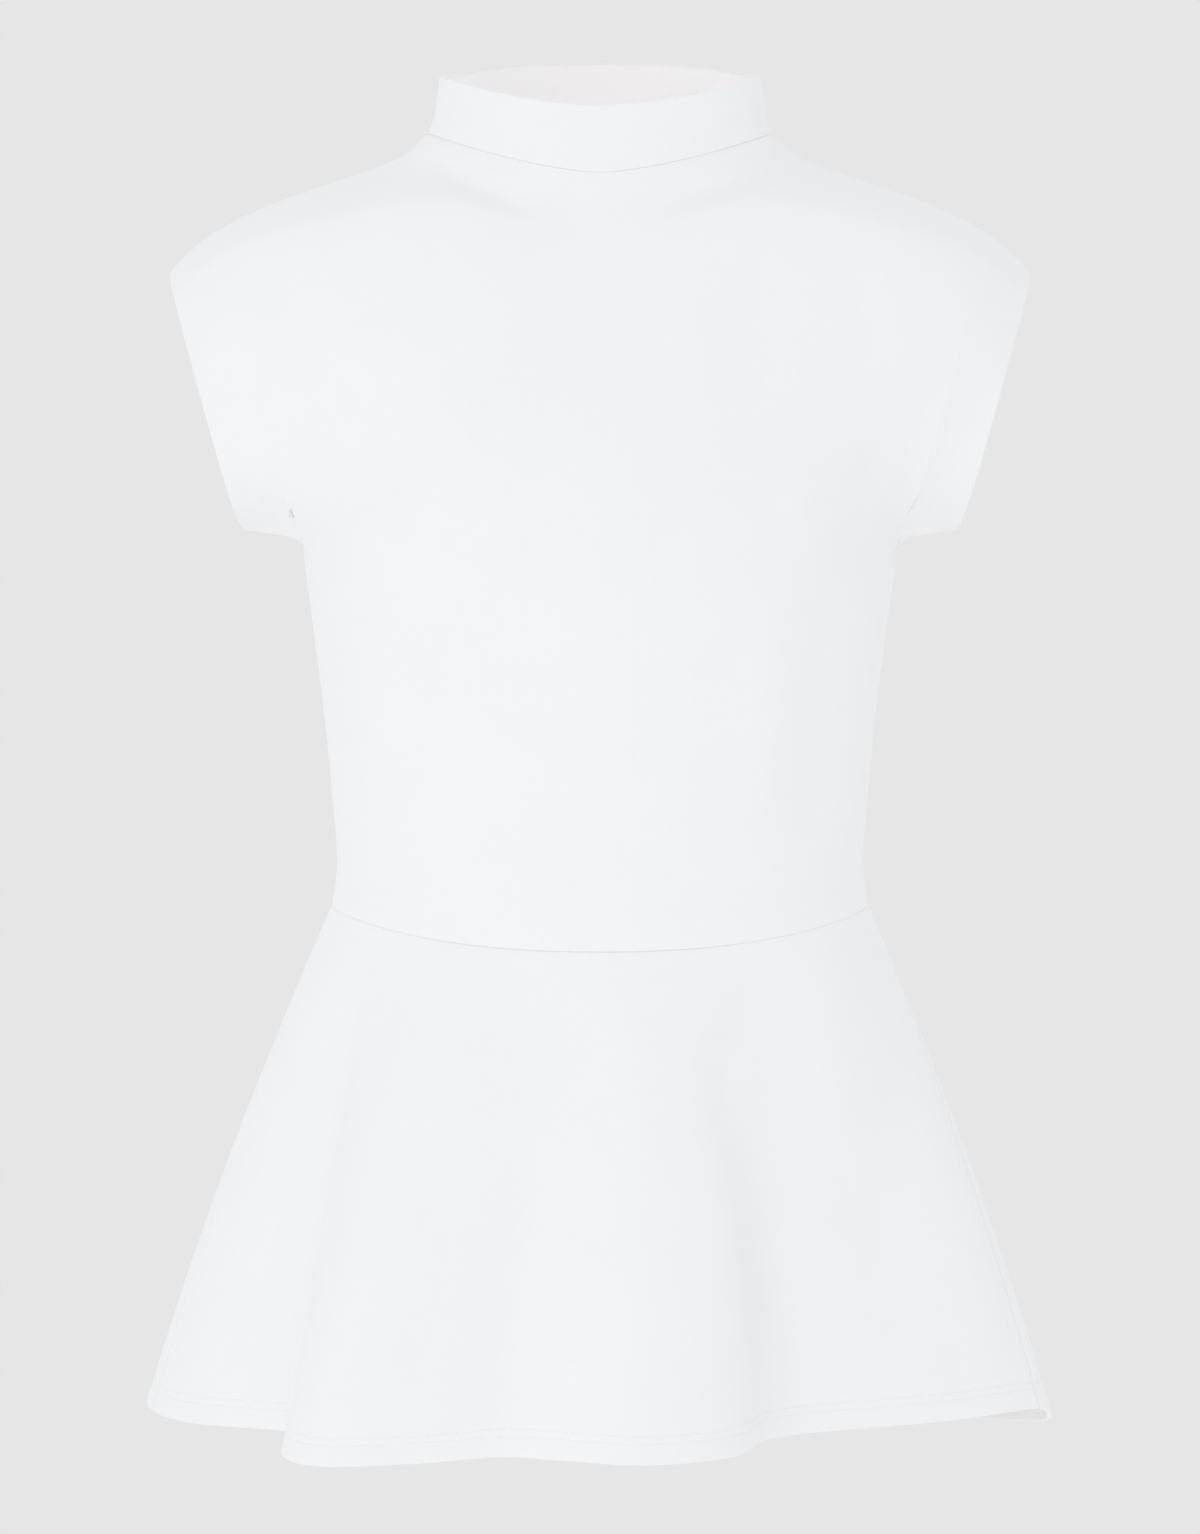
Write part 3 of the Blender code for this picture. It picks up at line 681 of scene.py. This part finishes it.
def sewPeplum(name, side):
    flutes = peplum["flutes"]
    halfGap = cloth["seamGap"] / 2

    def waistLine(share):
        turn = math.pi * (share - 0.5)
        ring = torsoPoint(side, turn, waist["sideZ"])
        ring.z = waistZ(side, math.sin(turn)) - halfGap
        return ring

    def hemLine(share):
        angle = between(-90, 90, share) if side == front else between(270, 90, share)
        radius = read(flutes, "angle", "radius", angle)
        turn = math.radians(angle)
        y = -radius * math.cos(turn)
        if abs(y) < halfGap:
            y = side * halfGap
        return Vector((radius * math.sin(turn), y, peplum["hemZ"] - read(flutes, "angle", "drop", angle)))

    fall = waist["sideZ"] - peplum["hemZ"]
    closeToSide = (0.0015, 0.003, 0.005, 0.008)
    columns = finePlaces(0, 1, peplum["fineStrips"], closeToSide, closeToSide)
    hemSteps = list(peplum["hemSteps"])
    for line in peplum["stitchLines"]:
        hemSteps += [line + step * peplum["channelWidth"] for step in peplum["channelSteps"]]
    closeToHem = [step / fall for step in hemSteps]
    closeToWaist = [step / fall for step in (0.0004, 0.001, 0.0016, 0.0024)]
    rows = finePlaces(0, 1, peplum["fineRows"], closeToHem, closeToWaist)  # from the hem up
    tops = alongLength(waistLine, columns)
    bottoms = alongLength(hemLine, columns)
    points = {}
    for column, top, bottom in zip(columns, tops, bottoms):
        for row in rows:
            share = 1 - row
            point = top.lerp(bottom, share + peplum["bell"] * share * (1 - share))
            point.z = between(top.z, bottom.z, share)
            points[column, row] = point

    sewn = {}
    turned = {}
    uvs = {}
    for column in columns:
        here = [(column, row) for row in rows]
        fromHem = sewnDistance(points, here)
        fromWaist = sewnDistance(points, here[::-1])
        for key in here:
            sewn[key] = fromWaist[key]
            turned[key] = fromHem[key]
            uvs[key] = [0, fromHem[key]]
    for row in rows:
        here = [(column, row) for column in columns]
        fromLeft = sewnDistance(points, here)
        fromRight = sewnDistance(points, here[::-1])
        middle = fromLeft[0.5, row]
        for key in here:
            sewn[key] = min(sewn[key], fromLeft[key], fromRight[key])
            uvs[key][0] = fromLeft[key] - middle

    def heldAt(key):
        column, row = key
        axes = []
        if column in (0, 1):
            axes.append(1)
        if row == 1:
            axes.append(2)
        return axes

    creases = peplum["frontCreases"] if side == front else peplum["backCreases"]

    def relief(key, point):
        channel = 0
        for line in peplum["stitchLines"]:
            channel += math.exp(-(((turned[key] - line) / peplum["channelWidth"]) ** 2))
        height = creaseHeight(creases, point) * eased(0, cloth["flattened"], sewn[key])
        return height - peplum["stitchChannel"] * channel

    faces = gridFaces(points, columns, rows, side)
    piece = closedWall(name, points, faces, uvs, sewn, turned, heldAt, peplum["hemTurn"], relief)

    # where the two rows of stitches run on the finished cloth, with the way up it at each place
    onCloth = dict(zip(points, (vertex.co.copy() for vertex in piece.data.vertices)))
    routes = []
    for line in peplum["stitchLines"]:
        route = []
        for column in columns:
            above = next(n for n in range(len(rows)) if turned[column, rows[n]] >= line)
            low = (column, rows[above - 1])
            high = (column, rows[above])
            part = (line - turned[low]) / (turned[high] - turned[low])
            place = onCloth[low].lerp(onCloth[high], part)
            route.append((place, (onCloth[high] - onCloth[low]).normalized()))
        routes.append(route)
    return piece, routes


peplumFront, frontHemRoutes = sewPeplum("peplumFrontCloth", front)
peplumBack, backHemRoutes = sewPeplum("peplumBackCloth", back)
print("peplum made")

# Hem stitches: one small bead of thread, copied along both rows
thread = {"pitch": 0.0029, "length": 0.0022, "radius": 0.00026, "sunk": 0.00004, "segments": 6, "rings": 4}


def stitchHem(name, routes, side):
    bpy.ops.object.select_all(action="DESELECT")
    bpy.ops.mesh.primitive_uv_sphere_add(
        segments=thread["segments"], ring_count=thread["rings"], radius=1, rotation=(0, quarter, 0)
    )
    bpy.ops.object.transform_apply(location=False, rotation=True, scale=True)
    bead = bpy.context.object
    beadPoints = [vertex.co.copy() for vertex in bead.data.vertices]
    beadFaces = [tuple(face.vertices) for face in bead.data.polygons]
    corners = []
    faces = []
    for route in routes:
        travelled = thread["pitch"] / 2
        for (here, up), (there, _) in zip(route, route[1:]):
            span = (there - here).length
            along = (there - here) / span
            outward = along.cross(up).normalized() * -side
            while travelled < span:
                across = outward.cross(along) * thread["radius"]
                sizes = (along * thread["length"] / 2, across, outward * thread["radius"])
                turned = Matrix(sizes).transposed()
                centre = here + along * travelled - outward * thread["sunk"]
                faces += [tuple(corner + len(corners) for corner in face) for face in beadFaces]
                corners += [centre + turned @ point for point in beadPoints]
                travelled += thread["pitch"]
            travelled -= span
    bead.data.clear_geometry()
    bead.data.from_pydata(corners, [], faces)
    bead.data.update()
    bead.data.shade_smooth()
    bead.name = name
    return bead


frontStitches = stitchHem("hemStitchesFront", frontHemRoutes, front)
backStitches = stitchHem("hemStitchesBack", backHemRoutes, back)
print("hem stitched")

# Collar: one band doubled over at its top edge
Level = namedtuple("Level", "share halfWidth halfDepth")
collar = {
    "frontZ": 0.0152,
    "sideZ": 0.0290,
    "backZ": 0.0360,
    "frontRounding": 1.75,
    "backRounding": 3.0,
    "fineStrips": 224,
    "fineRows": 20,
    "bendStep": 15,  # degrees, round the fold at the top
    "rowHeight": 0.0015,
    "levels": [
        Level(0.00, 0.0840, 0.0625),
        Level(0.14, 0.0823, 0.0618),
        Level(0.34, 0.0807, 0.0612),
        Level(0.60, 0.0798, 0.0608),
        Level(1.00, 0.0784, 0.0604),
    ],
}


def sewCollar(name):
    wall = cloth["doubleWall"]
    closeToFoot = (0.008, 0.02, 0.035, 0.055)
    shares = finePlaces(0, 1, collar["fineRows"], closeToFoot)
    bend = [math.radians(angle) for angle in range(collar["bendStep"], 180, collar["bendStep"])]
    mesh = bmesh.new()
    uvLayer = mesh.loops.layers.uv.new("UVMap")
    insideLayer = mesh.verts.layers.float.new("inside")
    rings = []
    for step in range(collar["fineStrips"]):
        turn = math.tau * step / collar["fineStrips"]
        atFront = math.cos(turn) > 0
        across = abs(math.sin(turn))
        foot = neckPoint(front if atFront else back, turn)
        foot.z += cloth["seamGap"] / 2
        rim = collar["frontZ"] if atFront else collar["backZ"]
        rounding = collar["frontRounding"] if atFront else collar["backRounding"]
        topZ = between(rim, collar["sideZ"], across ** rounding) - wall / 2
        outsides = []
        insides = []
        for share in shares:
            halfWidth = read(collar["levels"], "share", "halfWidth", share)
            halfDepth = read(collar["levels"], "share", "halfDepth", share)
            z = between(foot.z, topZ, share)
            outward = Vector((math.sin(turn) / halfWidth, -math.cos(turn) / halfDepth, 0)).normalized()
            outside = Vector((halfWidth * math.sin(turn), -halfDepth * math.cos(turn), z))
            dip = seamDepth(z - foot.z) * cloth["collarDip"]
            insides.append(outside - outward * wall)
            outsides.append(outside - outward * dip)
        middle = (outsides[-1] + insides[-1]) / 2
        over = []
        for angle in bend:
            lean = outward * math.cos(angle) + Vector((0, 0, math.sin(angle)))
            over.append(middle + lean * wall / 2)
        ring = [mesh.verts.new(point) for point in outsides + over + insides[::-1]]
        # the inner half of the doubled band gets the painted shade of the inside
        for vertex in ring[len(outsides) + len(over) // 2:]:
            vertex[insideLayer] = 1.0
        rings.append(ring)
    aroundLength = math.tau * (neckline["halfWidth"] + neckline["halfDepth"]) / 2
    for step, here in enumerate(rings):
        there = rings[(step + 1) % len(rings)]
        for n in range(len(here)):
            after = (n + 1) % len(here)
            face = mesh.faces.new((here[n], there[n], there[after], here[after]))
            face.smooth = True
            run = [(step, n), (step + 1, n), (step + 1, n + 1), (step, n + 1)]
            for loop, (along, up) in zip(face.loops, run):
                loop[uvLayer].uv = (aroundLength * along / len(rings), collar["rowHeight"] * up)
    data = bpy.data.meshes.new(name)
    mesh.to_mesh(data)
    mesh.free()
    piece = bpy.data.objects.new(name, data)
    bpy.context.scene.collection.objects.link(piece)
    return piece


collarBand = sewCollar("collarCloth")
print("collar made")


class Wire:
    # a node's output, with arithmetic on it
    def __init__(self, tree, socket=None):
        self.tree = tree
        self.socket = socket

    def node(self, kind, settings=None, inputs=None, output=0):
        made = self.tree.nodes.new(kind)
        for name, value in (settings or {}).items():
            setattr(made, name, value)
        for name, value in (inputs or {}).items():
            if isinstance(value, Wire):
                self.tree.links.new(value.socket, made.inputs[name])
            else:
                made.inputs[name].default_value = value
        return Wire(self.tree, made.outputs[output])

    def maths(self, operation, first, second):
        return self.node("ShaderNodeMath", {"operation": operation}, {0: first, 1: second})

    def __add__(self, other):
        return self.maths("ADD", self, other)

    def __radd__(self, other):
        return self.maths("ADD", other, self)

    def __sub__(self, other):
        return self.maths("SUBTRACT", self, other)

    def __rsub__(self, other):
        return self.maths("SUBTRACT", other, self)

    def __mul__(self, other):
        return self.maths("MULTIPLY", self, other)

    def __rmul__(self, other):
        return self.maths("MULTIPLY", other, self)


# The looks of the cloth and of its thread
jersey = {
    "outside": (0.882, 0.892, 0.898, 1),
    # the inner face is painted darker and warmer than the outside: painted shade and painted reflected
    # warmth inside the hollow cloth, on the same white jersey
    "inside": (0.880, 0.868, 0.872, 1),
    "waleWidth": 0.0009,
    "waveScale": 0.314,  # times 1 / width: a wave texture's scale for bands of that width
    "waleShare": 0.35,
    "grainSize": 0.0012,
    "grainShare": 0.65,
    "cloudScale": 22.0,
    "leastTone": 0.985,
    "cloudTone": 0.02,
    "grainTone": 0.01,
    "roughness": 0.80,
    "grainRoughness": 0.12,
    "relief": 0.0002,
    "reliefStrength": 0.25,
    "sheen": 0.12,
    "sheenRoughness": 0.5,
    "specular": 0.25,
}
threadLook = {
    "twistScale": 2600.0,
    "leastTone": 0.97,
    "twistTone": 0.04,
    "relief": 0.0001,
    "reliefStrength": 0.3,
    "roughness": 0.6,
}


def newMaterial(name):
    material = bpy.data.materials.new(name)
    material.use_nodes = True
    tree = material.node_tree
    return material, tree, tree.nodes["Principled BSDF"], Wire(tree)


def noise(wires, place, scale, detail):
    return wires.node("ShaderNodeTexNoise", {}, {"Vector": place, "Scale": scale, "Detail": detail})


def bumps(wires, height, look):
    sizes = {"Height": height, "Strength": look["reliefStrength"], "Distance": look["relief"]}
    return wires.node("ShaderNodeBump", {}, sizes)


def jerseyMaterial(name):
    material, tree, shader, wires = newMaterial(name)
    uv = wires.node("ShaderNodeTexCoord", output=2)
    place = wires.node("ShaderNodeTexCoord", output=3)
    inside = wires.node("ShaderNodeAttribute", {"attribute_name": "inside"}, output=2)
    wales = wires.node(
        "ShaderNodeTexWave",
        {"wave_type": "BANDS", "bands_direction": "X", "wave_profile": "SIN"},
        {
            "Vector": uv,
            "Scale": jersey["waveScale"] / jersey["waleWidth"],
            "Distortion": 0.6,
            "Detail": 1.0,
            "Detail Scale": 2.0,
        },
        1,
    )
    grain = noise(wires, place, 1 / jersey["grainSize"], 3.0)
    cloud = noise(wires, place, jersey["cloudScale"], 2.0)
    tone = jersey["leastTone"] + cloud * jersey["cloudTone"] + grain * jersey["grainTone"]
    # faces marked inside take the darker, warmer colour: painted shade inside the hollow cloth
    plain = wires.node(
        "ShaderNodeMix", {"data_type": "RGBA"}, {0: inside, 6: jersey["outside"], 7: jersey["inside"]}, 2
    )
    shaded = wires.node("ShaderNodeVectorMath", {"operation": "SCALE"}, {0: plain, "Scale": tone})
    height = wales * jersey["waleShare"] + grain * jersey["grainShare"]
    bump = bumps(wires, height, jersey)
    rough = jersey["roughness"] + grain * jersey["grainRoughness"]
    tree.links.new(shaded.socket, shader.inputs["Base Color"])
    tree.links.new(rough.socket, shader.inputs["Roughness"])
    tree.links.new(bump.socket, shader.inputs["Normal"])
    shader.inputs["Sheen Weight"].default_value = jersey["sheen"]
    shader.inputs["Sheen Roughness"].default_value = jersey["sheenRoughness"]
    shader.inputs["Specular IOR Level"].default_value = jersey["specular"]
    return material


def threadMaterial(name):
    material, tree, shader, wires = newMaterial(name)
    place = wires.node("ShaderNodeTexCoord", output=3)
    twist = noise(wires, place, threadLook["twistScale"], 1.0)
    tone = threadLook["leastTone"] + twist * threadLook["twistTone"]
    plain = jersey["outside"][:3]
    shade = wires.node("ShaderNodeVectorMath", {"operation": "SCALE"}, {0: plain, "Scale": tone})
    bump = bumps(wires, twist, threadLook)
    tree.links.new(shade.socket, shader.inputs["Base Color"])
    tree.links.new(bump.socket, shader.inputs["Normal"])
    shader.inputs["Roughness"].default_value = threadLook["roughness"]
    return material


bodyJersey = jerseyMaterial("bodyJersey")
collarJersey = jerseyMaterial("collarJersey")
for piece, node, slot in (
    (bodiceFront, "bodice_front", "body_cloth"),
    (bodiceBack, "bodice_back", "body_cloth"),
    (peplumFront, "peplum_front", "body_cloth"),
    (peplumBack, "peplum_back", "body_cloth"),
    (collarBand, "collar", "collar_cloth"),
):
    piece.data.materials.append(collarJersey if slot == "collar_cloth" else bodyJersey)
    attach(piece, "root")
    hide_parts(node)
sewingThread = threadMaterial("sewingThread")
for stitches in (frontStitches, backStitches):
    stitches.data.materials.append(sewingThread)
    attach(stitches, "root")
print("cloth finished")

# Studio: pale floor well below, soft light from the front left, a long lens at collar height
studio = {
    "floorZ": -1.42,
    "floorSize": 6.0,
    "floorColour": (0.88, 0.88, 0.88, 1),
    "floorRoughness": 0.9,
    "backdrop": (0.791, 0.791, 0.791, 1),
    "fillColour": (0.985, 0.99, 1.0, 1),
    "fill": 0.985,
    "topFlag": 0.08,
    "sideFlag": 0.055,
    "sideFlagFrom": (0.9, -0.4, -0.35),
    "key": 13,
    "keyFrom": (-1.2, -4.0, -0.6),
    "floorGlow": 10,
    "neckGlow": 0.07,
    "cameraDistance": 3.8,
    "aimZ": -0.309,
    "lens": 182.0,
}
bpy.ops.mesh.primitive_plane_add(size=studio["floorSize"], location=(0, 0, studio["floorZ"]))
floor = bpy.context.object
floor.name = "floor"
floorPaint, _, floorShader, _ = newMaterial("floorPaint")
floorShader.inputs["Base Color"].default_value = studio["floorColour"]
floorShader.inputs["Roughness"].default_value = studio["floorRoughness"]
floor.data.materials.append(floorPaint)

world = bpy.data.worlds.new("studioAir")
bpy.context.scene.world = world
world.use_nodes = True
world.node_tree.nodes.clear()
air = Wire(world.node_tree)
direction = air.node("ShaderNodeTexCoord", output=0)


def flag(towards, darkness):
    # a black card that takes light away from one side
    facing = air.node("ShaderNodeVectorMath", {"operation": "DOT_PRODUCT"}, {0: direction, 1: towards}, 1)
    return air.maths("MAXIMUM", facing, 0.0) * darkness


strength = studio["fill"] - flag((0, 0, 1), studio["topFlag"])
strength = strength - flag(Vector(studio["sideFlagFrom"]).normalized(), studio["sideFlag"])
seen = air.node("ShaderNodeBackground", {}, {"Color": studio["backdrop"], "Strength": 1.0})
lit = air.node("ShaderNodeBackground", {}, {"Color": studio["fillColour"], "Strength": strength})
toCamera = air.node("ShaderNodeLightPath", output=0)
both = air.node("ShaderNodeMixShader", {}, {0: toCamera, 1: lit, 2: seen})
worldOut = world.node_tree.nodes.new("ShaderNodeOutputWorld")
world.node_tree.links.new(both.socket, worldOut.inputs["Surface"])


def softbox(name, place, aim, size, power):
    light = bpy.data.lights.new(name, "AREA")
    light.shape = "RECTANGLE"
    light.size, light.size_y = size
    light.energy = power
    lamp = bpy.data.objects.new(name, light)
    bpy.context.scene.collection.objects.link(lamp)
    lamp.location = place
    lamp.rotation_euler = (Vector(aim) - Vector(place)).to_track_quat("-Z", "Y").to_euler()
    return lamp


softbox("key", studio["keyFrom"], (0, 0, -0.3), (1.6, 1.6), studio["key"])
neckGlow = softbox("neckGlow", (0, 0, -0.09), (0, 0.02, 0.05), (0.06, 0.05), studio["neckGlow"])
floorAt = studio["floorZ"] + 0.02
floorGlow = softbox("floorGlow", (0, 0, floorAt), (0, 0, 0), (5, 5), studio["floorGlow"])
for lamp in (neckGlow, floorGlow):
    lamp.visible_camera = False

camera = bpy.data.cameras.new("camera")
camera.lens = studio["lens"]
camera.sensor_width = 36
camera.clip_start = 0.05
camera.clip_end = 50
eye = bpy.data.objects.new("camera", camera)
bpy.context.scene.collection.objects.link(eye)
eye.location = (0, -studio["cameraDistance"], 0)
eye.rotation_euler = (Vector((0, 0, studio["aimZ"])) - eye.location).to_track_quat("-Z", "Y").to_euler()
bpy.context.scene.camera = eye
bpy.context.scene.view_settings.view_transform = "Standard"
print("studio ready")
